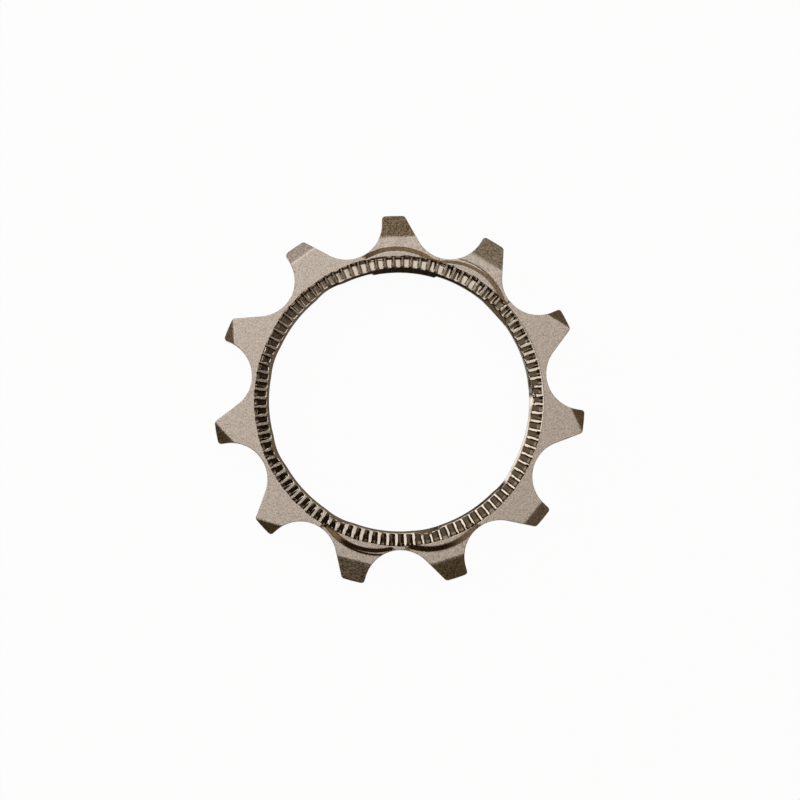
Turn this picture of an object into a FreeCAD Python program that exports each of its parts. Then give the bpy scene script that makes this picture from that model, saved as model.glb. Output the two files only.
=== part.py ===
import FreeCAD, Part
import math
import os

# Eleven-tooth top sprocket of a bicycle cassette: one piece of steel, forged and then coined.
# Origin on the bore axis at the rear face, +Z towards the serrated front face, millimetres.
# Angles are degrees counter-clockwise from +X, seen from the front.

# Chain and tooth outline
chain_pitch = 12.7
roller_diameter = 7.77
tooth_count = 11
first_gullet_angle = 8.6
gullet_radius = 4.5
sloped_flank_angle = 45.0
steep_flank_angle = 17.0
tooth_height = 4.6
tip_corner_radius = 0.4

# Thicknesses
collar_height = 2.35
plate_thickness = 1.6

# Splined bore: nine lugs, one of them wide, under a round lip at the front
bore_diameter = 32.6
lip_thickness = 1.25
lead_in_width = 0.35
lead_in_depth = 0.55
spline_depth = 1.0
spline_corner_radius = 0.3
lug_count = 9
lug_rise = 0.05
lug_width = 4.0
first_lug_angle = 82.5
wide_lug_offset_angle = 5.25
wide_lug_width = 8.1
wide_lug_rise = 0.2
wide_lug_end_angle = 40.0

# Dents pressed into the front edge over each lug
dent_reach = 0.95
dent_depth = 0.95
dent_overlap = 0.3

# Spacer collar behind the teeth
collar_wall = 0.9
collar_foot = 0.25
collar_edge = 0.2

# Serrated seat on the front face
seat_width = 1.8
seat_sink = 0.08
serration_count = 100
first_serration_angle = 0.6
serration_depth = 0.5
serration_floor_slope = 18.0
serration_top_width = 0.82
serration_floor_width = 0.52
serration_end_run = 0.28
serration_overrun = 0.05

# Shift gates: teeth thinned from the front, behind an arched step
gate_depth = 0.5
gate_wall_run = 0.62
gate_arch_radius = 7.8
gate_arch_rise = 0.74
gate_root_margin = 0.2
gate_floor_length = 1.26
gate_tip_drop = 0.6
gate_ledge_drop = 0.36
gate_ledge_width = 0.3
gate_ledge_inset = 0.1

# Coined facets on the other tooth tips, and the bevel behind every tip
bevel_facet_length = 1.45
bevel_facet_slope = 24.0
corner_facet_turn = 26.0
corner_facet_slope = 26.0
rear_bevel_length = 1.2
rear_bevel_slope = 16.0

# What each tooth carries, counter-clockwise from the first gullet
tooth_forms = [
    "corner", "double_gate", "gate", "bevel", "corner", "corner",
    "corner", "double_gate", "gate", "bevel", "corner",
]

# Sizes that follow from those above
pitch_angle = 360 / tooth_count
half_pitch_sine = math.sin(math.radians(pitch_angle / 2))
root_radius = (chain_pitch / half_pitch_sine - roller_diameter) / 2
tip_radius = root_radius + tooth_height
front_z = collar_height + plate_thickness
lip_z = front_z - lip_thickness
gate_z = front_z - gate_depth
bore_radius = bore_diameter / 2
nose_radius = bore_radius - wide_lug_rise
spline_radius = bore_radius + spline_depth
collar_radius = spline_radius + collar_wall
seat_radius = bore_radius + seat_width
seat_z = front_z - seat_sink
lug_step_angle = 360 / lug_count
wide_lug_angle = first_lug_angle + wide_lug_offset_angle

# How far cutters reach past what they cut, and how closely edges are matched
beyond = 1.0
match_tolerance = 1e-4

UP = FreeCAD.Vector(0, 0, 1)
ORIGIN = FreeCAD.Vector(0, 0, 0)


def polar(radius, angle, z=0.0):
    turn = math.radians(angle)
    return FreeCAD.Vector(radius * math.cos(turn), radius * math.sin(turn), z)


def turned(shape, angle):
    copy = shape.copy()
    copy.rotate(ORIGIN, UP, angle)
    return copy


def prism(edges, low, high):
    """Closed outline at z = 0, raised to stand between two heights."""
    solid = Part.Face(Part.Wire(edges)).extrude(UP * (high - low))
    solid.translate(UP * low)
    return solid


def ring_of(points):
    """Section of (radius, height) points, turned about the bore axis."""
    corners = [FreeCAD.Vector(radius, 0, height) for radius, height in points]
    section = Part.Face(Part.makePolygon(corners + corners[:1]))
    return section.revolve(ORIGIN, UP, 360)


def arc_between(radius, start, end):
    """Arc about the bore axis from one angle to another."""
    middle = (start + end) / 2
    return Part.Arc(polar(radius, start), polar(radius, middle), polar(radius, end)).toShape()


def sector(inner, outer, start, end, low, high):
    """Part of a flat ring between two angles and two heights."""
    edges = [
        arc_between(outer, start, end),
        Part.makeLine(polar(outer, end), polar(inner, end)),
        arc_between(inner, end, start),
        Part.makeLine(polar(inner, start), polar(outer, start)),
    ]
    return prism(edges, low, high)


def upright_edges(solid, radius):
    """Edges parallel to the bore axis that stand at the given radius."""
    found = []
    for edge in solid.Edges:
        ends = [vertex.Point for vertex in edge.Vertexes]
        if len(ends) < 2 or abs(ends[0].z - ends[1].z) < match_tolerance:
            continue
        flat = [math.hypot(point.x, point.y) for point in ends]
        if max(abs(value - radius) for value in flat) < match_tolerance:
            found.append(edge)
    return found


def flank(side, lean):
    """Foot and tip corner of the line that leaves the gullet along +X on one side, tangent to its arc."""
    outward = polar(1, side * lean)
    foot = FreeCAD.Vector(root_radius + gullet_radius, 0, 0) + polar(gullet_radius, side * (lean + 90))
    along = foot.dot(outward)
    travel = math.sqrt(along ** 2 + tip_radius ** 2 - foot.Length ** 2) - along
    return foot, foot + outward * travel


# Tip of the tooth that follows a gullet along +X
sloped_foot, sloped_corner = flank(1, sloped_flank_angle)
steep_foot, steep_corner = flank(-1, steep_flank_angle)
tip_start_angle = math.degrees(math.atan2(sloped_corner.y, sloped_corner.x))
tip_end_angle = pitch_angle + math.degrees(math.atan2(steep_corner.y, steep_corner.x))
tip_middle_angle = (tip_start_angle + tip_end_angle) / 2
tip_half_angle = (tip_end_angle - tip_start_angle) / 2


def tooth_angle(index):
    """Direction of a tooth's tip; tooth 0 follows the first gullet."""
    return first_gullet_angle + index * pitch_angle + tip_middle_angle


def gullet_cutter():
    """Roller seat with one steep and one sloped flank, open outwards."""
    sloped_end = sloped_corner + polar(2 * beyond, sloped_flank_angle)
    steep_end = steep_corner + polar(2 * beyond, -steep_flank_angle)
    edges = [
        Part.Arc(steep_foot, FreeCAD.Vector(root_radius, 0, 0), sloped_foot).toShape(),
        Part.makeLine(sloped_foot, sloped_end),
        Part.makeLine(sloped_end, steep_end),
        Part.makeLine(steep_end, steep_foot),
    ]
    return prism(edges, collar_height - beyond, front_z + beyond)


def tooth_plate():
    """Flat toothed disc with rounded tip corners and a bevel behind every tip."""
    plate = Part.makeCylinder(tip_radius, plate_thickness, UP * collar_height)
    gullet = gullet_cutter()
    angles = [first_gullet_angle + index * pitch_angle for index in range(tooth_count)]
    plate = plate.cut([turned(gullet, angle) for angle in angles])
    plate = plate.makeFillet(tip_corner_radius, upright_edges(plate, tip_radius))
    rise = math.tan(math.radians(rear_bevel_slope))
    behind_tips = ring_of([
        (tip_radius - rear_bevel_length, collar_height),
        (tip_radius + beyond, collar_height),
        (tip_radius + beyond, collar_height + (rear_bevel_length + beyond) * rise),
    ])
    return plate.cut(behind_tips)


def spacer_collar():
    """Ring behind the teeth that sets the gap to the next sprocket."""
    inner = nose_radius - beyond
    return ring_of([
        (inner, 0),
        (collar_radius - collar_edge, 0),
        (collar_radius, collar_edge),
        (collar_radius, collar_height - collar_foot),
        (collar_radius + collar_foot, collar_height),
        (inner, collar_height),
    ])


def bore_cutters():
    """Through hole at the lugs' tips, and the slightly wider hole of the lip."""
    through = Part.makeCylinder(bore_radius - lug_rise, front_z + 2 * beyond, UP * -beyond)
    lip = Part.makeCylinder(bore_radius, lip_thickness + beyond, UP * lip_z)
    return [through, lip]


def wide_lug():
    """Lug that stands further in than the rest, with slanted ends, rooted in the ring."""
    half = math.degrees(wide_lug_width / 2 / bore_radius)
    slant = math.tan(math.radians(wide_lug_end_angle))
    root = bore_radius + spline_depth / 2
    narrower = math.degrees(wide_lug_rise * slant / bore_radius)
    wider = math.degrees((root - bore_radius) * slant / bore_radius)
    edges = [
        arc_between(nose_radius, narrower - half, half - narrower),
        Part.makeLine(polar(nose_radius, half - narrower), polar(root, half + wider)),
        arc_between(root, half + wider, -half - wider),
        Part.makeLine(polar(root, -half - wider), polar(nose_radius, narrower - half)),
    ]
    return turned(prism(edges, 0, front_z), wide_lug_angle)


def lead_in_cutter():
    """Countersink of the lip, cut on down so that it trims the wide lug too."""
    spread = lead_in_width / lead_in_depth
    low = nose_radius - beyond
    top = front_z + beyond
    foot_z = front_z - lead_in_depth - (wide_lug_rise + beyond) / spread
    high = bore_radius + lead_in_width + beyond * spread
    return ring_of([(0, foot_z), (low, foot_z), (high, top), (0, top)])


def lugs():
    """Middle angle and width of every lug, counter-clockwise, the wide one first."""
    rest = [(first_lug_angle + index * lug_step_angle, lug_width) for index in range(1, lug_count)]
    return [(wide_lug_angle, wide_lug_width)] + rest


def spline_cutters():
    """Pockets from the rear between neighbouring lugs, stopping under the lip."""
    inner = nose_radius - beyond
    spans = []
    for middle, width in lugs():
        half = math.degrees(width / 2 / bore_radius)
        spans.append((middle - half, middle + half))
    spans.append((spans[0][0] + 360, spans[0][1] + 360))
    cutters = []
    for (_, start), (end, _) in zip(spans, spans[1:]):
        pocket = sector(inner, spline_radius, start, end, -beyond, lip_z)
        cutters.append(pocket.makeFillet(spline_corner_radius, upright_edges(pocket, spline_radius)))
    return cutters


def dent_cutter(angle, width):
    """Cone sunk into the front edge over a lug: a half-moon, seen from the front."""
    chord = width + 2 * dent_overlap
    mouth = (chord ** 2 / 4 + dent_reach ** 2) / (2 * dent_reach)
    spread = dent_reach / dent_depth
    height = mouth / spread
    cone = Part.makeCone(0, mouth + beyond * spread, height + beyond)
    cone.translate(polar(bore_radius + dent_reach - mouth, angle, front_z - height))
    return cone


def dent_cutters():
    return [dent_cutter(middle, width) for middle, width in lugs()]


def groove_cutter():
    """One serration groove along +X: its floor falls outwards, its sides and outer end slope up."""
    height = serration_depth + beyond
    growth = height / serration_depth
    floor_half = serration_floor_width / 2
    top_half = floor_half + (serration_top_width - serration_floor_width) / 2 * growth
    end_lean = math.atan(serration_end_run / serration_depth) - math.radians(serration_floor_slope)
    floor_end = seat_radius + serration_overrun - serration_end_run
    top_end = floor_end + height * math.tan(end_lean)
    inner = nose_radius - beyond
    groove = Part.makeWedge(
        inner, 0, -floor_half, -top_half, inner,
        floor_end, height, floor_half, top_half, top_end,
    )
    groove.rotate(ORIGIN, FreeCAD.Vector(1, 0, 0), 90)
    groove.rotate(FreeCAD.Vector(floor_end, 0, 0), FreeCAD.Vector(0, 1, 0), serration_floor_slope)
    groove.translate(UP * (seat_z - serration_depth))
    return groove


def seat_cutter():
    """Sunk ring round the bore that carries the serrations."""
    inner = nose_radius - beyond
    top = front_z + beyond
    return ring_of([(inner, seat_z), (seat_radius, seat_z), (seat_radius, top), (inner, top)])


def serration_cutters():
    groove = groove_cutter()
    step = 360 / serration_count
    return [turned(groove, first_serration_angle + index * step) for index in range(serration_count)]


def arched_cutter(wall):
    """Everything in front of one tooth along +X beyond an arch whose wall is (radius, height) points."""
    block = sector(
        root_radius - gate_root_margin, tip_radius + beyond,
        -tip_middle_angle, pitch_angle - tip_middle_angle, gate_z, front_z + beyond,
    )
    hill = ring_of([(0, gate_z)] + wall + [(0, front_z + beyond)])
    hill.translate(FreeCAD.Vector(root_radius + gate_arch_rise - gate_arch_radius, 0, 0))
    return block.cut(hill)


def sloped_wall(foot_radius, foot_z, top_z):
    """Both ends of a gate wall's slope, from its foot up to a height."""
    return [(foot_radius, foot_z), (foot_radius - (top_z - foot_z) * gate_wall_run / gate_depth, top_z)]


def facet_cutter(corner, turn, slope):
    """Block over a plane that falls away outwards from a line through a point of the tooth along +X."""
    width = 2 * tip_radius * half_pitch_sine
    length = tooth_height + beyond
    block = Part.makeBox(length, width, plate_thickness + beyond, FreeCAD.Vector(0, -width / 2, 0))
    block.rotate(ORIGIN, FreeCAD.Vector(0, 1, 0), slope)
    block.rotate(ORIGIN, UP, turn)
    block.translate(corner)
    return block


def gate_facet():
    line = root_radius + gate_arch_rise + gate_floor_length
    slope = math.degrees(math.atan(gate_tip_drop / (tip_radius - line)))
    return facet_cutter(FreeCAD.Vector(line, 0, gate_z), 0, slope)


def gate_cutters():
    return [arched_cutter(sloped_wall(gate_arch_radius, gate_z, front_z + beyond)), gate_facet()]


def double_gate_cutters():
    """A gate whose step is split by a narrow ledge."""
    ledge_radius = gate_arch_radius - gate_ledge_inset
    ledge_z = front_z - gate_ledge_drop
    lower = sloped_wall(ledge_radius + gate_ledge_width, gate_z, ledge_z)
    upper = sloped_wall(ledge_radius, ledge_z, front_z + beyond)
    return [arched_cutter(lower + upper), gate_facet()]


def bevel_cutters():
    line = FreeCAD.Vector(tip_radius - bevel_facet_length, 0, front_z)
    return [facet_cutter(line, 0, bevel_facet_slope)]


def corner_cutters():
    """Plane across the steep flank's corner, from the other corner of the tip."""
    corner = polar(tip_radius, -tip_half_angle, front_z)
    return [facet_cutter(corner, corner_facet_turn, corner_facet_slope)]


def tooth_cutters():
    makers = {
        "gate": gate_cutters,
        "double_gate": double_gate_cutters,
        "bevel": bevel_cutters,
        "corner": corner_cutters,
    }
    cutters = []
    for index in range(tooth_count):
        form = tooth_forms[index % len(tooth_forms)]
        cutters += [turned(cutter, tooth_angle(index)) for cutter in makers[form]()]
    return cutters


def sprocket():
    body = tooth_plate().fuse(spacer_collar())
    body = body.cut(bore_cutters()).fuse(wide_lug())
    body = body.cut([lead_in_cutter(), seat_cutter()])
    body = body.cut(spline_cutters())
    body = body.cut(tooth_cutters())
    body = body.cut(dent_cutters())
    body = body.cut(serration_cutters())
    return body.removeSplitter()


os.makedirs("parts", exist_ok=True)
part = sprocket()
print("solids", len(part.Solids), "valid", part.isValid(), "volume", round(part.Volume, 2))
part.exportStep("parts/sprocket.step")
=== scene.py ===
import math

import bpy
import numpy as np
from mathutils import Matrix, Vector


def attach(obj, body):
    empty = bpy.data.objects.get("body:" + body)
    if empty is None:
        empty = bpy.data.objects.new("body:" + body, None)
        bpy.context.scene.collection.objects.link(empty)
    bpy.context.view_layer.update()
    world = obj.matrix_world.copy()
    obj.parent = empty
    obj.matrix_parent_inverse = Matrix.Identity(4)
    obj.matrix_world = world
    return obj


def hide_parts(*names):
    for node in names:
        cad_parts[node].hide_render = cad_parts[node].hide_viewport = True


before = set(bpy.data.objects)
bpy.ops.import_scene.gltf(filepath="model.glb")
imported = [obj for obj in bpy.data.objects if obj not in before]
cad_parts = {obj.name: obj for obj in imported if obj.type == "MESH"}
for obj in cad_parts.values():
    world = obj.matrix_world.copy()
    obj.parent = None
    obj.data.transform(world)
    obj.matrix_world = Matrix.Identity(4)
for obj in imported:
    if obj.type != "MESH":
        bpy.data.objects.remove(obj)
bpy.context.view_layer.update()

rng = np.random.default_rng(seed=11)

# The skin's sizes are in millimetres and degrees. Its mesh is scaled to metres at the end.
MM = 0.001

# Chain and tooth outline
chain_pitch = 12.7
roller_diameter = 7.77
tooth_count = 11
first_gullet_angle = 8.6
gullet_radius = 4.5
sloped_flank_angle = 45.0
steep_flank_angle = 17.0
tooth_height = 4.6
tip_corner_radius = 0.4
rim_round = 0.06

# Thicknesses
collar_height = 2.35
plate_thickness = 1.6

# Splined bore. In the lists the wide lug comes first and the others follow counter-clockwise.
# The last lug has no dent but a long chamfer.
bore_radius = 16.3
lip_thickness = 1.25
lip_edge_run = 0.05
lip_corner_run = 0.08
lead_in_depth = 0.42
lead_in_slope = 0.8
spline_depth = 1.0
lug_count = 9
lug_width = 4.0
lug_recesses = [0, 0.2, 0.1, 0.15, 0.12, 0.05, 0.15, 0, -0.1]
lug_relief = 0.16
first_lug_angle = 82.5
wide_lug_angle = 87.75
wide_lug_width = 8.1
wide_lug_rise = 0.2
wide_lug_end_angle = 40.0
dent_reaches = [0.72, 0.9, 0.92, 1.0, 0.9, 1.0, 0.92, 0.95]
dent_slope = 0.79
dent_overlap = 0.3
chamfer_reach = 0.8
chamfer_end_rise = 1.0

# Spacer collar
collar_wall = 0.9
collar_foot = 0.25
collar_edge = 0.2
collar_edge_middle = (0.08, 0.04)
rear_edge = 0.1
rear_edge_middle = 0.02

# Serrated seat. The grooves are widest at two opposite angles, narrower about the pinch angle,
# and shorter about the stop angle.
seat_width = 1.8
seat_sink = 0.08
seat_slope = 5.0
seat_rim_steepness = 4.0
seat_land = 0.2
serration_count = 100
first_serration_angle = 0.6
serration_depth = 0.6
serration_floor_slope = 18.0
serration_top_width = 0.85
serration_floor_width = 0.64
serration_end_run = 0.1
serration_hollow = 0.05
serration_overrun = 0.05
serration_width_swing = 0.07
serration_widest_angle = 308.0
serration_pinch = 0.13
serration_pinch_angle = 256.0
serration_pinch_spread = 18.0
serration_stop = 0.27
serration_stop_angle = 12.0
serration_stop_spread = 34.0
serration_depth_scatter = 0.02
serration_width_scatter = 0.03
serration_end_scatter = 0.03

# Shift gates and coined facets. The keys are places in the list of tooth forms, which runs
# counter-clockwise.
tooth_forms = [
    "corner", "double_gate", "gate", "bevel", "corner", "corner",
    "corner", "double_gate", "gate", "bevel", "corner",
]
gate_depth = 0.5
gate_wall_run = 0.62
gate_arch_radius = 7.8
gate_arch_rise = 0.74
gate_floor_lengths = {1: 1.15, 2: 1.06, 7: 1.26, 8: 1.26}
gate_tip_drop = 0.6
gate_ledge_drop = 0.36
gate_ledge_width = 0.3
gate_ledge_inset = 0.1
gate_ledge_shift = 0.35
gate_fade_angles = {1: (1.0, 0.01), 2: (0.01, 3.5), 7: (0.6, 3.5), 8: (3.5, 1.5)}
gate_fade_height = 1.0
gate_root_margin = 0.35
bevel_facet_length = 1.45
bevel_facet_slopes = {3: 19.0, 9: 24.0}
corner_facet_turns = {0: 32.0, 4: 26.5, 5: 33.0, 6: 31.0, 10: 31.0}
corner_facet_slope = 26.0
rear_bevel_length = 1.2
rear_bevel_slope = 16.0

# How dark the facet of each tooth is, its darker coined finish with painted shade set tooth by tooth on
# top, and how coarse, in the order of the tooth forms
facet_darkness_and_shade = np.array([1, 0.74, 0.93, 0.1, 1, 1, 1, 0.8, 1, 0.72, 1])
facet_coarseness = np.array([0.3, 0.6, 1.1, 0.1, 0.3, 0.4, 0.3, 1.4, 0.7, 0.2, 0.3])

# Sizes that follow
pitch_angle = 360 / tooth_count
half_pitch_sine = math.sin(math.radians(pitch_angle / 2))
root_radius = (chain_pitch / half_pitch_sine - roller_diameter) / 2
gullet_centre = np.array([root_radius + gullet_radius, 0.0])
tip_radius = root_radius + tooth_height
front_z = collar_height + plate_thickness
lip_z = front_z - lip_thickness
gate_z = front_z - gate_depth
seat_z = front_z - seat_sink
seat_radius = bore_radius + seat_width
land_radius = seat_radius + seat_land
spline_radius = bore_radius + spline_depth
collar_radius = spline_radius + collar_wall

# Blends of the edges where two forms meet
soft_edge = 0.05
groove_floor_blend = 0.04
groove_end_blend = 0.06
groove_edge_blend = 0.02
seat_blend = 0.03
lip_blend = 0.03

# Rows and columns of the mesh: the columns across one groove in degrees from its middle, the rows
# across the seat in millimetres from the lip's edge, and those under the lip as shares of its width
groove_columns = np.array([-1.62, -1.44, -1.25, -1.02, -0.55, 0.0, 0.55, 1.02, 1.25, 1.44, 1.62])
seat_rows = np.array([
    0.0, 0.05, 0.11, 0.18, 0.25, 0.32, 0.38, 0.46, 0.58, 0.74, 0.92, 1.1, 1.25,
    1.35, 1.42, 1.48, 1.56, 1.66, 1.74, 1.79, 1.83, 1.87, 1.92,
])
tooth_rows = 31
rear_rows = 9
lip_under_rows = (0.05, 0.5, 0.95)
sharp_angle = 50

# Heights and slopes that cut nothing away
far_above = 9.0

# Distances over which the masks of the material fade in, and how far some reach past their form
groove_fade = 0.08
groove_reach = 0.06
groove_end_fade = 0.06
facet_fade = 0.05
gate_wall_fade = 0.06
seat_fade = 0.06
seat_reach = 0.08
lip_fade = 0.04
bore_reach = 0.01
bend_gain = 4


def polar(radius, angle):
    turn = np.radians(angle)
    return np.stack([radius * np.cos(turn), radius * np.sin(turn)], -1)


def slope(angle):
    return math.tan(math.radians(angle))


def angle_between(angle, middle):
    """Difference of two angles in degrees, from -180 to 180."""
    return (angle - middle + 180) % 360 - 180


def hump(angle, middle, spread):
    """A smooth rise to 1 about an angle."""
    return np.exp(-(angle_between(angle, middle) / spread) ** 2)


def faded(distance, width):
    """Share from 0 to 1 over a width."""
    return np.clip(distance / width, 0, 1)


def smooth_min(a, b, blend=soft_edge):
    share = np.clip(0.5 + (b - a) / (2 * blend), 0, 1)
    return b + (a - b) * share - blend * share * (1 - share)


def smooth_max(a, b, blend=soft_edge):
    return -smooth_min(-a, -b, blend)


def run_to(radius, start, out):
    """Distance from a point along a direction to a circle about the bore axis."""
    along = start @ out
    return math.sqrt(along ** 2 - start @ start + radius ** 2) - along


def flank(side, lean):
    """Foot of a flank on the gullet arc, and its sharp corner at the tip."""
    out = polar(1, side * lean)
    foot = gullet_centre + polar(gullet_radius, side * (lean + 90))
    return foot, foot + out * run_to(tip_radius, foot, out)


def corner_round(side, foot, corner):
    """End of a flank where its tip corner's round starts, and that round's centre."""
    out = (corner - foot) / np.hypot(*(corner - foot))
    start = foot + side * tip_corner_radius * np.array([-out[1], out[0]])
    travel = run_to(tip_radius - tip_corner_radius, start, out)
    return foot + out * travel, start + out * travel


# Tip of the tooth that follows a gullet along +X
sloped_foot, sloped_corner = flank(1, sloped_flank_angle)
steep_foot, steep_corner = flank(-1, steep_flank_angle)
tip_start_angle = math.degrees(math.atan2(sloped_corner[1], sloped_corner[0]))
tip_end_angle = pitch_angle + math.degrees(math.atan2(steep_corner[1], steep_corner[0]))
tip_middle_angle = (tip_start_angle + tip_end_angle) / 2
tip_half_angle = (tip_end_angle - tip_start_angle) / 2


def tooth_angle(index):
    return first_gullet_angle + index * pitch_angle + tip_middle_angle


def arc(centre, first, last, radius, turn_back=False, count=160):
    """Points on an arc about a centre, between the directions of two points."""
    begin = math.atan2(*(first - centre)[::-1])
    end = math.atan2(*(last - centre)[::-1])
    if turn_back:
        end -= 2 * math.pi * (end > begin)
    else:
        end += 2 * math.pi * (end < begin)
    return centre + polar(radius, np.degrees(np.linspace(begin, end, count)))


def tooth_outline(flank_points=80):
    """One tooth from gullet middle to gullet middle, counter-clockwise from angle 0."""
    turn = np.radians(pitch_angle)
    ahead = np.array([[math.cos(turn), math.sin(turn)], [-math.sin(turn), math.cos(turn)]])
    foot = sloped_foot
    end, centre = corner_round(1, sloped_foot, sloped_corner)
    next_foot = steep_foot @ ahead
    next_end, next_centre = [point @ ahead for point in corner_round(-1, steep_foot, steep_corner)]
    root = np.array([root_radius, 0.0])
    origin = np.zeros(2)
    pieces = [
        arc(gullet_centre, root, foot, gullet_radius, turn_back=True),
        np.linspace(foot, end, flank_points),
        arc(centre, end, centre * 2, tip_corner_radius),
        arc(origin, centre, next_centre, tip_radius),
        arc(next_centre, next_centre * 2, next_end, tip_corner_radius),
        np.linspace(next_end, next_foot, flank_points),
        arc(gullet_centre @ ahead, next_foot, root @ ahead, gullet_radius, turn_back=True),
    ]
    return np.concatenate(pieces)


def outline_columns(angles, probe=0.02):
    """Outline point and outward direction for every column, spread evenly along each tooth."""
    path = tooth_outline()
    steps = np.hypot(*np.diff(path, axis=0).T)
    length = np.concatenate([[0], np.cumsum(steps)])
    share = (angles - first_gullet_angle) / pitch_angle
    index = np.floor(share)
    wanted = (share - index) * length[-1]

    def point_at(run):
        return np.stack([np.interp(run, length, path[:, k]) for k in (0, 1)], -1)

    along = point_at(wanted + probe) - point_at(wanted - probe)
    along /= np.hypot(*along.T)[:, None]
    out = np.stack([along[:, 1], -along[:, 0]], -1)
    turn = np.radians(first_gullet_angle + index * pitch_angle)
    cosine, sine = np.cos(turn), np.sin(turn)
    turned = []
    for x, y in (point_at(wanted).T, out.T):
        turned.append(np.stack([x * cosine - y * sine, x * sine + y * cosine], -1))
    return turned


# Angle, depth, floor width and outer end of every groove
groove_angles = first_serration_angle + np.arange(serration_count) * 360 / serration_count
groove_depths = serration_depth + rng.normal(0, serration_depth_scatter, serration_count)
swings = serration_width_swing * np.cos(2 * np.radians(groove_angles - serration_widest_angle))
pinches = serration_pinch * hump(groove_angles, serration_pinch_angle, serration_pinch_spread)
groove_widths = serration_floor_width + swings - pinches
groove_widths += rng.normal(0, serration_width_scatter, serration_count)
stops = serration_stop * hump(groove_angles, serration_stop_angle, serration_stop_spread)
groove_ends = seat_radius + serration_overrun - serration_end_run - stops
groove_ends += rng.normal(0, serration_end_scatter, serration_count)


def seat_height(x, y):
    """Sunk ring that falls towards the bore, the troughs of its radial grooves, and their outer ends."""
    radius = np.hypot(x, y)
    angle = np.degrees(np.arctan2(y, x))
    step = 360 / serration_count
    index = np.round((angle - first_serration_angle) / step).astype(int) % serration_count
    off = np.radians(angle_between(angle, groove_angles[index]))
    across = np.abs(radius * np.sin(off))
    out = radius * np.cos(off)
    foot = groove_ends[index]
    low = seat_z - groove_depths[index]
    floor_z = low + (foot - out) * slope(serration_floor_slope) + serration_hollow * across ** 2
    side_run = (serration_top_width - serration_floor_width) / 2
    side = floor_z + (across - groove_widths[index] / 2) * serration_depth / side_run
    end = low + (out - foot) * serration_depth / serration_end_run
    trough = smooth_max(floor_z, side, groove_floor_blend)
    fall = np.where(radius < seat_radius, slope(seat_slope), seat_rim_steepness)
    sunk = seat_z + (radius - seat_radius) * fall
    return sunk, trough, end


def lugs():
    """Angle and width of every lug."""
    rest = [(first_lug_angle + k * 360 / lug_count, lug_width) for k in range(1, lug_count)]
    return [(wide_lug_angle, wide_lug_width)] + rest


def dent_height(x, y):
    """Lowest of the cones sunk into the front edge over the lugs, and of the last lug's chamfer."""
    lowest = np.full_like(x, far_above)
    for (angle, width), reach in zip(lugs(), dent_reaches):
        chord = width + 2 * dent_overlap
        mouth = (chord ** 2 / 4 + reach ** 2) / (2 * reach)
        centre = polar(bore_radius + reach - mouth, angle)
        away = np.hypot(x - centre[0], y - centre[1])
        lowest = np.minimum(lowest, front_z - (mouth - away) * dent_slope)
    angle, width = lugs()[-1]
    off = np.abs(angle_between(np.degrees(np.arctan2(y, x)), angle))
    past = np.radians(off) * bore_radius - width / 2
    chamfer = front_z - (bore_radius + chamfer_reach - np.hypot(x, y)) * dent_slope
    return np.minimum(lowest, chamfer + faded(past, dent_overlap) * chamfer_end_rise)


def arched_step(along, across, depth, arch_radius):
    """Floor of a gate and the sloping wall of its arch, for a tooth along +X."""
    centre = root_radius + gate_arch_rise - gate_arch_radius
    away = np.hypot(along - centre, across)
    floor_z = front_z - depth
    return smooth_max(floor_z, floor_z + (arch_radius - away) * gate_depth / gate_wall_run)


def gate_step(index, along, across, off):
    """Step of a gate tooth, which runs out towards the gullets on both sides."""
    if tooth_forms[index] == "gate":
        step = arched_step(along, across, gate_depth, gate_arch_radius)
    else:
        upper_radius = gate_arch_radius - gate_ledge_inset
        lower_radius = upper_radius + gate_ledge_width
        ledge = arched_step(along, across, gate_ledge_drop, upper_radius)
        step = smooth_min(ledge, arched_step(along, across - gate_ledge_shift, gate_depth, lower_radius))
    root = root_radius - gate_root_margin - np.hypot(along, across)
    step = smooth_max(step, gate_z + root * gate_depth / gate_wall_run)
    start_fade, end_fade = gate_fade_angles[index]
    start = 1 - (off + tip_middle_angle) / start_fade
    end = 1 - (pitch_angle - tip_middle_angle - off) / end_fade
    return step + np.clip(np.maximum(start, end), 0, 1) * gate_fade_height


def facet_height(index, along, across):
    """Coined plane at the tip of a tooth."""
    form = tooth_forms[index]
    if form == "bevel":
        line = tip_radius - bevel_facet_length
        return front_z - (along - line) * slope(bevel_facet_slopes[index])
    if form == "corner":
        corner = polar(tip_radius, -tip_half_angle)
        lean = math.radians(corner_facet_turns[index])
        past = (along - corner[0]) * math.cos(lean) + (across - corner[1]) * math.sin(lean)
        return front_z - past * slope(corner_facet_slope)
    line = root_radius + gate_arch_rise + gate_floor_lengths[index]
    drop = gate_tip_drop / (tip_radius - line)
    return gate_z - np.where(along > line, drop, far_above) * (along - line)


def tooth_heights(x, y):
    """Height left by the steps of the gates, and by the coined facets."""
    radius = np.hypot(x, y)
    angle = np.degrees(np.arctan2(y, x))
    steps = np.full_like(x, far_above)
    facets = np.full_like(x, far_above)
    for index, form in enumerate(tooth_forms):
        off = angle_between(angle, tooth_angle(index))
        inside = (off > -tip_middle_angle) & (off <= pitch_angle - tip_middle_angle)
        along, across = np.moveaxis(polar(radius, off), -1, 0)
        if form in ("gate", "double_gate"):
            steps = np.where(inside, gate_step(index, along, across, off), steps)
        facets = np.where(inside, facet_height(index, along, across), facets)
    return steps, facets


def face_height(x, y):
    """Front of the plate with its gates, facets and serrations."""
    steps, facets = tooth_heights(x, y)
    coined = smooth_min(smooth_min(np.full_like(x, front_z), steps), facets)
    sunk, trough, end = seat_height(x, y)
    groove = smooth_max(trough, end, groove_end_blend)
    return smooth_min(smooth_min(coined, sunk, seat_blend), groove, groove_edge_blend)


def lip_height(x, y):
    """Lead-in of the bore and the dents over its lugs."""
    lead_in = front_z - lead_in_depth + (np.hypot(x, y) - bore_radius) * lead_in_slope
    return smooth_min(lead_in, dent_height(x, y), lip_blend)


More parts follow.
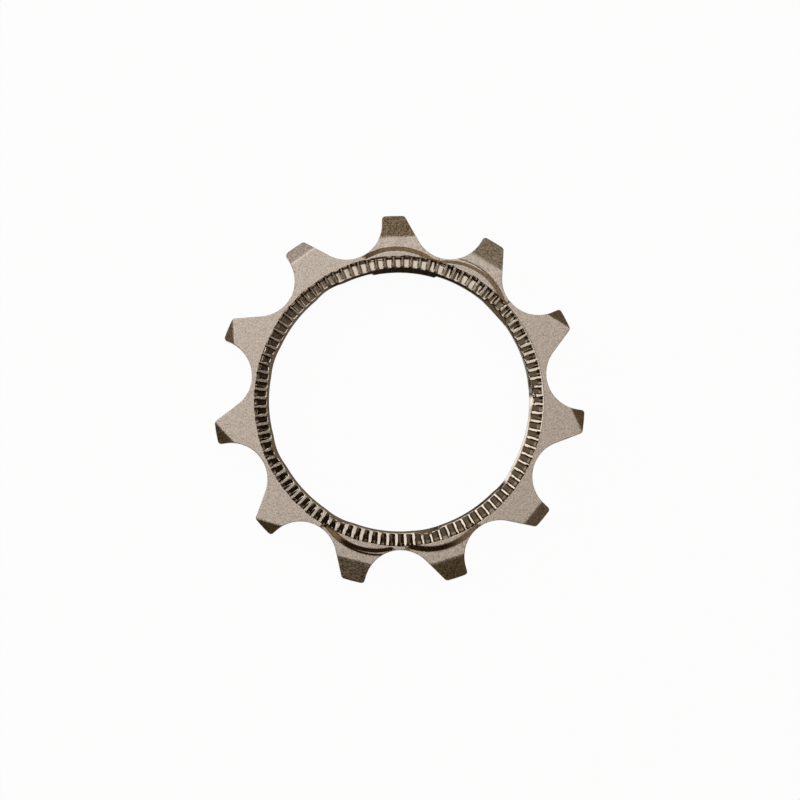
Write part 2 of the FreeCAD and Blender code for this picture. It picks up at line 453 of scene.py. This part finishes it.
def front_height(x, y):
    return smooth_min(face_height(x, y), lip_height(x, y), lip_blend)


def rear_height(x, y):
    """Rear of the plate with the bevels of the teeth."""
    past = np.hypot(x, y) - (tip_radius - rear_bevel_length)
    return collar_height + smooth_max(0 * x, past * slope(rear_bevel_slope))


def crowded_rows(first, last, height, count, crowding=0.28, samples=220, smoothing=7):
    """Rows of points between two rings of columns, closer together where the height bends."""
    share = np.linspace(0, 1, samples)[:, None]
    x = first[:, 0] + (last[:, 0] - first[:, 0]) * share
    y = first[:, 1] + (last[:, 1] - first[:, 1]) * share
    step = np.hypot(*(last - first).T) / (samples - 1)
    turning = np.abs(np.gradient(np.gradient(height(x, y), axis=0), axis=0)) / step
    kernel = np.ones(smoothing) / smoothing
    turning = np.apply_along_axis(np.convolve, 0, turning, kernel, "same")
    weight = 1 / samples + crowding * turning
    total = np.cumsum(weight, axis=0)
    total = (total - total[0]) / (total[-1] - total[0])
    places = np.linspace(0, 1, count)
    picked = np.stack([np.interp(places, total[:, k], share[:, 0]) for k in range(len(first))], 1)
    x = first[:, 0] + (last[:, 0] - first[:, 0]) * picked
    y = first[:, 1] + (last[:, 1] - first[:, 1]) * picked
    return np.stack([x, y, height(x, y)], -1)


def inner_radii(angles):
    """Radius of the lip's edge and of the wall under it, for every column."""
    edge = np.full_like(angles, bore_radius)
    wall = np.full_like(angles, spline_radius)
    for (angle, width), recess in zip(lugs(), lug_recesses):
        half = math.degrees(width / 2 / bore_radius)
        off = angle_between(angles, angle) / half
        wall[np.abs(off) < 1] = bore_radius + max(recess, 0) + lug_relief
        edge += recess * np.clip(1 - off ** 2, 0, 1)
    slant = math.degrees(wide_lug_rise * slope(wide_lug_end_angle) / bore_radius)
    half = math.degrees(wide_lug_width / 2 / bore_radius)
    rise = faded(half - np.abs(angle_between(angles, wide_lug_angle)), slant)
    edge -= wide_lug_rise * rise
    return edge, np.where(rise > 0, edge + lug_relief, wall)


def at_height(flat, z):
    """Points over a plane row, each at its own height."""
    return np.concatenate([flat, z[:, None]], 1)


def rim_row(inset, out, z, towards_middle, turn):
    """A row on the round of the teeth's rim, turned by an angle from the face to the flank."""
    lean = math.radians(turn)
    flat = inset + out * rim_round * math.sin(lean)
    return at_height(flat, z + towards_middle * rim_round * (1 - math.cos(lean)))


def section_rows():
    """All rows of the skin, from the lip's front edge outwards, round the back and up the bore."""
    angles = (groove_angles[:, None] + groove_columns).ravel()
    tips, out = outline_columns(angles)
    edge, wall = inner_radii(angles)
    rows = []
    for place in seat_rows / (land_radius - bore_radius):
        flat = polar(edge + (land_radius - edge) * place, angles)
        rows.append(at_height(flat, front_height(*flat.T)))
    inset = tips - out * rim_round
    rows += list(crowded_rows(polar(land_radius, angles), inset, front_height, tooth_rows))
    top = rows[-1][:, 2]
    bottom = rear_height(*inset.T)
    rows += [rim_row(inset, out, top, -1, turn) for turn in (45, 90)]
    rows.append(at_height(tips, (top + bottom) / 2))
    rows += [rim_row(inset, out, bottom, 1, turn) for turn in (90, 45)]
    rows += list(crowded_rows(inset, polar(collar_radius + collar_foot, angles), rear_height, rear_rows))
    lip_under = [(wall * (1 - share) + edge * share, lip_z) for share in lip_under_rows]
    back_and_bore = [
        (collar_radius, collar_height - collar_foot),
        (collar_radius, collar_height / 2),
        (collar_radius, collar_edge),
        (collar_radius - collar_edge_middle[0], collar_edge_middle[1]),
        (collar_radius - collar_edge, 0),
        ((collar_radius + wall) / 2, 0),
        (wall + rear_edge, 0),
        (wall + rear_edge_middle, rear_edge_middle),
        (wall, rear_edge),
        (wall, lip_z / 2),
        (wall, lip_z - lip_corner_run),
        *lip_under,
        (edge, lip_z + lip_edge_run),
        (edge, (lip_z + rows[0][:, 2]) / 2),
    ]
    rows += [at_height(polar(radius, angles), np.full_like(angles, z)) for radius, z in back_and_bore]
    return np.stack(rows)


def skin_mesh(name, grid):
    """Closed mesh over a grid of points that wraps round both ways."""
    rows, columns = grid.shape[:2]
    index = np.arange(rows * columns).reshape(rows, columns)
    right = np.roll(index, -1, 1)
    quads = np.stack([index, np.roll(index, -1, 0), np.roll(right, -1, 0), right], -1)
    mesh = bpy.data.meshes.new(name)
    mesh.from_pydata((grid.reshape(-1, 3) * MM).tolist(), [], quads.reshape(-1, 4).tolist())
    mesh.validate()
    mesh.update()
    return mesh


def bending(grid, tiny=1e-9):
    """Bend of the skin at each point: positive in a corner, negative on an edge."""
    around = [np.roll(grid, turn, axis) for axis in (0, 1) for turn in (1, -1)]
    normal = np.cross(around[2] - around[3], around[0] - around[1])
    normal /= np.linalg.norm(normal, axis=-1, keepdims=True) + tiny
    # The row next to the seat lies on the front face, where the normal points up.
    normal *= np.sign(normal[len(seat_rows), 0, 2])
    spacing = sum(np.linalg.norm(side - grid, axis=-1) for side in around) / 4
    return ((sum(around) / 4 - grid) * normal).sum(-1) / (spacing + tiny)


def step_slopes(x, y, steps, probe=0.02):
    """Share of the gate walls' full slope, from the flat floors to the walls."""
    outwards = 1 + probe / np.hypot(x, y)
    outer_steps = tooth_heights(x * outwards, y * outwards)[0]
    return np.clip((steps - outer_steps) / probe / (gate_depth / gate_wall_run), 0, 1)


def surface_masks(grid):
    """Where the skin is coined, a groove, a concave corner that takes painted shade or a convex edge that
    takes a painted highlight.
    """
    x, y = grid[..., 0], grid[..., 1]
    radius = np.hypot(x, y)
    front = np.arange(len(grid))[:, None] < len(seat_rows) + tooth_rows
    steps, facets = tooth_heights(x, y)
    sunk, trough, end = seat_height(x, y)
    on_seat = front & (radius < seat_radius + groove_reach)
    groove = faded(sunk - np.maximum(trough, end), groove_fade) * on_seat
    facet = faded(np.minimum(steps, front_z) - facets, facet_fade) * front
    share = (np.degrees(np.arctan2(y, x)) - first_gullet_angle) / pitch_angle
    tooth = np.floor(share).astype(int) % tooth_count
    bend = bending(grid)
    return {
        # The facet mask carries each tooth's darkness, partly coined finish and partly painted shade
        "facet": facet * facet_darkness_and_shade[tooth],
        "grain": facet * facet_coarseness[tooth],
        "wall": faded(front_z - steps, gate_wall_fade) * step_slopes(x, y, steps) * front,
        "groove": groove,
        # end marks the grooves' outer end walls, which take near-black painted shade
        "end": groove * faded(end - trough + groove_end_fade / 2, groove_end_fade),
        "seat": faded(seat_radius + seat_reach - radius, seat_fade) * front,
        "lip": faded(face_height(x, y) - lip_height(x, y), lip_fade) * front,
        # bore marks the bore walls and the lip's underside, which take dark painted shade
        "bore": (radius < spline_radius + bore_reach) * ~front,
        # corner marks concave creases, which take painted shade
        "corner": np.clip(bend * bend_gain, 0, 1),
        # edge marks convex edges, which take a painted highlight
        "edge": np.clip(-bend * bend_gain, 0, 1),
    }


grid = section_rows()
mesh = skin_mesh("sprocket_skin", grid)
masks = surface_masks(grid)
for name, values in masks.items():
    layer = mesh.attributes.new(name, "FLOAT", "POINT")
    layer.data.foreach_set("value", values.ravel().astype(np.float32))
mesh.shade_smooth()
mesh.set_sharp_from_angle(angle=math.radians(sharp_angle))
sprocket = bpy.data.objects.new("sprocket_skin", mesh)
bpy.context.collection.objects.link(sprocket)
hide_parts("sprocket")
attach(sprocket, "root")


def add_node(tree, kind, inputs, **settings):
    """A new shader node, with sockets given as links or plain values."""
    node = tree.nodes.new(kind)
    for name, value in settings.items():
        setattr(node, name, value)
    for name, value in inputs.items():
        if isinstance(value, bpy.types.NodeSocket):
            tree.links.new(value, node.inputs[name])
        else:
            node.inputs[name].default_value = value
    return node


def mask_node(tree, name):
    return add_node(tree, "ShaderNodeAttribute", {}, attribute_name=name).outputs["Fac"]


def noise_node(tree, place, scale, detail=2.0, roughness=0.6):
    inputs = {"Vector": place, "Scale": scale, "Detail": detail, "Roughness": roughness}
    return add_node(tree, "ShaderNodeTexNoise", inputs).outputs["Fac"]


def spread(tree, value, low, high, to_low, to_high):
    inputs = {"Value": value, "From Min": low, "From Max": high, "To Min": to_low, "To Max": to_high}
    return add_node(tree, "ShaderNodeMapRange", inputs).outputs["Result"]


def maths(tree, operation, *values):
    return add_node(tree, "ShaderNodeMath", dict(enumerate(values)), operation=operation).outputs[0]


def mixed_colour(tree, share, first, second):
    """Mix of two colours, by the sockets that the Mix node has for colours."""
    inputs = {0: share, 6: first, 7: second}
    return add_node(tree, "ShaderNodeMix", inputs, data_type="RGBA").outputs[2]


# Colours of the steel: the plain face, then the forms laid over it in turn
face_colour = (0.55, 0.49, 0.435, 1)
form_colours = {
    "facet": (0.206, 0.152, 0.094, 1),
    "wall": (0.62, 0.52, 0.42, 1),
    "seat": (0.44, 0.395, 0.345, 1),
    "groove": (0.44, 0.39, 0.335, 1),
    # end: near black on the grooves' outer end walls, painted shade
    "end": (0.12, 0.085, 0.05, 1),
    "lip": (0.46, 0.405, 0.345, 1),
    # bore: dark brown on the bore walls and under the lip, painted shade
    "bore": (0.12, 0.09, 0.06, 1),
}
# Painted shade: darker brown laid into the concave corners and creases of the skin
corner_shade_colour = (0.16, 0.11, 0.06, 1)
corner_shade_share = 0.8
# Painted highlight: a paler colour laid along the convex edges off the seat
edge_highlight_colour = (0.72, 0.66, 0.59, 1)
edge_highlight_share = 0.5
# Painted shade: a dark colour on the seat's crests that dims their highlights
crest_shade_colour = (0.24, 0.2, 0.16, 1)

# Fine grain and broader patches, as sizes of noise per metre and swings about the plain colour
grain_scale = 4800
grain_detail = 3.0
grain_fineness = 0.7
grain_swing = 0.45
coarse_swing = 0.7
seat_grain_share = 0.4
patch_scale = 1500
patch_swing = 0.08
noise_low, noise_high = 0.3, 0.7

# Roughness of the face, what facets add to it, and what the worn and pressed forms take from it
face_roughness = 0.42
facet_roughness = 0.16
smoother_forms = {"seat": 0.17, "groove": 0.1, "wall": 0.29}
grain_roughness = 0.05
bump_strength = 0.2
bump_distance = 0.00004
seat_bump_share = 0.1


def steel_colour(tree, mask, plain, grain, patches):
    """Colour of each form, with painted shade in the corners and on the seat's crests, a painted
    highlight on the edges, grain and patches.
    """
    colour = face_colour
    for name, form_colour in form_colours.items():
        colour = mixed_colour(tree, mask[name], colour, form_colour)
    # Painted shade in the concave corners
    corner_shade = maths(tree, "MULTIPLY", mask["corner"], corner_shade_share)
    colour = mixed_colour(tree, corner_shade, colour, corner_shade_colour)
    # Painted highlight on the convex edges
    edge_highlight = maths(tree, "MULTIPLY", maths(tree, "MULTIPLY", mask["edge"], plain), edge_highlight_share)
    colour = mixed_colour(tree, edge_highlight, colour, edge_highlight_colour)
    # Painted shade on the seat's crests
    crest_shade = maths(tree, "MULTIPLY", mask["edge"], mask["seat"])
    colour = mixed_colour(tree, crest_shade, colour, crest_shade_colour)
    swing = maths(tree, "MULTIPLY_ADD", mask["grain"], coarse_swing, grain_swing)
    swing = maths(tree, "MULTIPLY", swing, maths(tree, "MAXIMUM", plain, seat_grain_share))
    level = maths(tree, "MULTIPLY", spread(tree, grain, noise_low, noise_high, -1, 1), swing)
    patch_level = spread(tree, patches, noise_low, noise_high, 1 - patch_swing, 1 + patch_swing)
    level = maths(tree, "ADD", level, patch_level)
    inputs = {0: colour, "Scale": level}
    return add_node(tree, "ShaderNodeVectorMath", inputs, operation="SCALE").outputs[0]


def steel_roughness(tree, mask, grain):
    rough = maths(tree, "MULTIPLY_ADD", mask["facet"], facet_roughness, face_roughness)
    for name, fall in smoother_forms.items():
        rough = maths(tree, "SUBTRACT", rough, maths(tree, "MULTIPLY", mask[name], fall))
    swing = spread(tree, grain, noise_low, noise_high, -grain_roughness, grain_roughness)
    return maths(tree, "ADD", rough, swing)


def coined_steel():
    material = bpy.data.materials.new("steel")
    material.use_nodes = True
    tree = material.node_tree
    shader = tree.nodes["Principled BSDF"]
    shader.inputs["Metallic"].default_value = 1.0
    mask = {name: mask_node(tree, name) for name in masks}
    plain = maths(tree, "SUBTRACT", 1, mask["seat"])
    place = add_node(tree, "ShaderNodeTexCoord", {}).outputs["Object"]
    grain = noise_node(tree, place, grain_scale, grain_detail, grain_fineness)
    patches = noise_node(tree, place, patch_scale)
    tree.links.new(steel_colour(tree, mask, plain, grain, patches), shader.inputs["Base Color"])
    tree.links.new(steel_roughness(tree, mask, grain), shader.inputs["Roughness"])
    strength = maths(tree, "MULTIPLY", maths(tree, "MAXIMUM", plain, seat_bump_share), bump_strength)
    inputs = {"Height": grain, "Strength": strength, "Distance": bump_distance}
    bump = add_node(tree, "ShaderNodeBump", inputs)
    tree.links.new(bump.outputs["Normal"], shader.inputs["Normal"])
    return material


mesh.materials.append(coined_steel())

# Surroundings, in metres
floor_half = 2.6
floor_colour = (0.9, 0.9, 0.9, 1)
floor_white_share = 0.96
sky_bright = (0.26, 0.21, 0.15, 1)
sky_dark = (0.022, 0.013, 0.005, 1)
sky_bright_towards = (0.9, 0.5, 0.5)
sky_full_from = 0.4

# Name, azimuth, elevation, distance, width and height, radiance and colour of each lamp
lamps = [
    ("key", 127, 76, 0.75, (0.3, 0.3), 2.8, (1, 1, 1)),
    ("top", 80, 55, 0.6, (0.42, 0.2), 1.35, (1, 1, 1)),
    ("left", 158, 22, 0.6, (0.36, 0.36), 2.2, (1, 1, 1)),
    ("low", 196, 12, 0.6, (0.16, 0.16), 0.9, (1, 1, 1)),
    ("corner", 222, 14, 0.6, (0.24, 0.24), 0.26, (1, 0.75, 0.45)),
]


def white_floor(name):
    """A pale floor that shows white and still takes a faint shadow."""
    corners = ((-1, -1), (1, -1), (1, 1), (-1, 1))
    stage_mesh = bpy.data.meshes.new(name)
    stage_mesh.from_pydata([(x * floor_half, y * floor_half, 0) for x, y in corners], [], [(0, 1, 2, 3)])
    stage = bpy.data.objects.new(name, stage_mesh)
    bpy.context.collection.objects.link(stage)
    material = bpy.data.materials.new(name)
    material.use_nodes = True
    tree = material.node_tree
    tree.nodes.remove(tree.nodes["Principled BSDF"])
    path = add_node(tree, "ShaderNodeLightPath", {}).outputs
    seen = maths(tree, "MAXIMUM", path["Is Camera Ray"], path["Is Glossy Ray"])
    seen = maths(tree, "MAXIMUM", seen, path["Is Transmission Ray"])
    share = maths(tree, "MULTIPLY", seen, floor_white_share)
    pale = add_node(tree, "ShaderNodeBsdfDiffuse", {"Color": floor_colour})
    white = add_node(tree, "ShaderNodeEmission", {"Color": (1, 1, 1, 1), "Strength": 1.0})
    surface = add_node(tree, "ShaderNodeMixShader", {0: share, 1: pale.outputs[0], 2: white.outputs[0]})
    tree.links.new(surface.outputs[0], tree.nodes["Material Output"].inputs["Surface"])
    stage_mesh.materials.append(material)


def studio_sky(name):
    """A world that is dark brown on one side and pale on the other."""
    world = bpy.data.worlds.new(name)
    world.use_nodes = True
    bpy.context.scene.world = world
    tree = world.node_tree
    direction = add_node(tree, "ShaderNodeTexCoord", {}).outputs["Generated"]
    inputs = {0: direction, 1: sky_bright_towards}
    facing = add_node(tree, "ShaderNodeVectorMath", inputs, operation="DOT_PRODUCT").outputs["Value"]
    sky = mixed_colour(tree, spread(tree, facing, 0, sky_full_from, 0, 1), sky_dark, sky_bright)
    tree.links.new(sky, tree.nodes["Background"].inputs["Color"])


def soft_box(name, azimuth, elevation, distance, size, radiance, colour):
    """A lamp that looks at the bore's middle, as bright as a white sheet times its radiance."""
    data = bpy.data.lights.new(name, "AREA")
    data.shape = "RECTANGLE"
    data.size, data.size_y = size
    data.color = colour
    data.energy = radiance * math.pi * data.size * data.size_y
    turn, rise = math.radians(azimuth), math.radians(elevation)
    direction = Vector((math.cos(rise) * math.cos(turn), math.cos(rise) * math.sin(turn), math.sin(rise)))
    lamp = bpy.data.objects.new(name, data)
    lamp.location = direction * distance
    lamp.rotation_mode = "QUATERNION"
    lamp.rotation_quaternion = direction.to_track_quat("Z", "Y")
    bpy.context.collection.objects.link(lamp)


white_floor("floor")
studio_sky("world")
for lamp in lamps:
    soft_box(*lamp)

# Camera, which looks down on the front face
camera_aim = Vector((0.06, 0.112, front_z)) * MM
camera_back = Vector((-0.037, -0.037, 1)).normalized()
camera_right = Vector((0, 1, 0)).cross(camera_back).normalized()
camera_distance = 0.7
camera_data = bpy.data.cameras.new("camera")
camera_data.lens = 252
camera_data.sensor_width = 36
camera_data.clip_start = 0.01
camera = bpy.data.objects.new("camera", camera_data)
camera.location = camera_aim + camera_back * camera_distance
camera.rotation_mode = "QUATERNION"
camera_axes = Matrix((camera_right, camera_back.cross(camera_right), camera_back)).transposed()
camera.rotation_quaternion = camera_axes.to_quaternion()
bpy.context.collection.objects.link(camera)
bpy.context.scene.camera = camera
bpy.context.scene.view_settings.view_transform = "Standard"
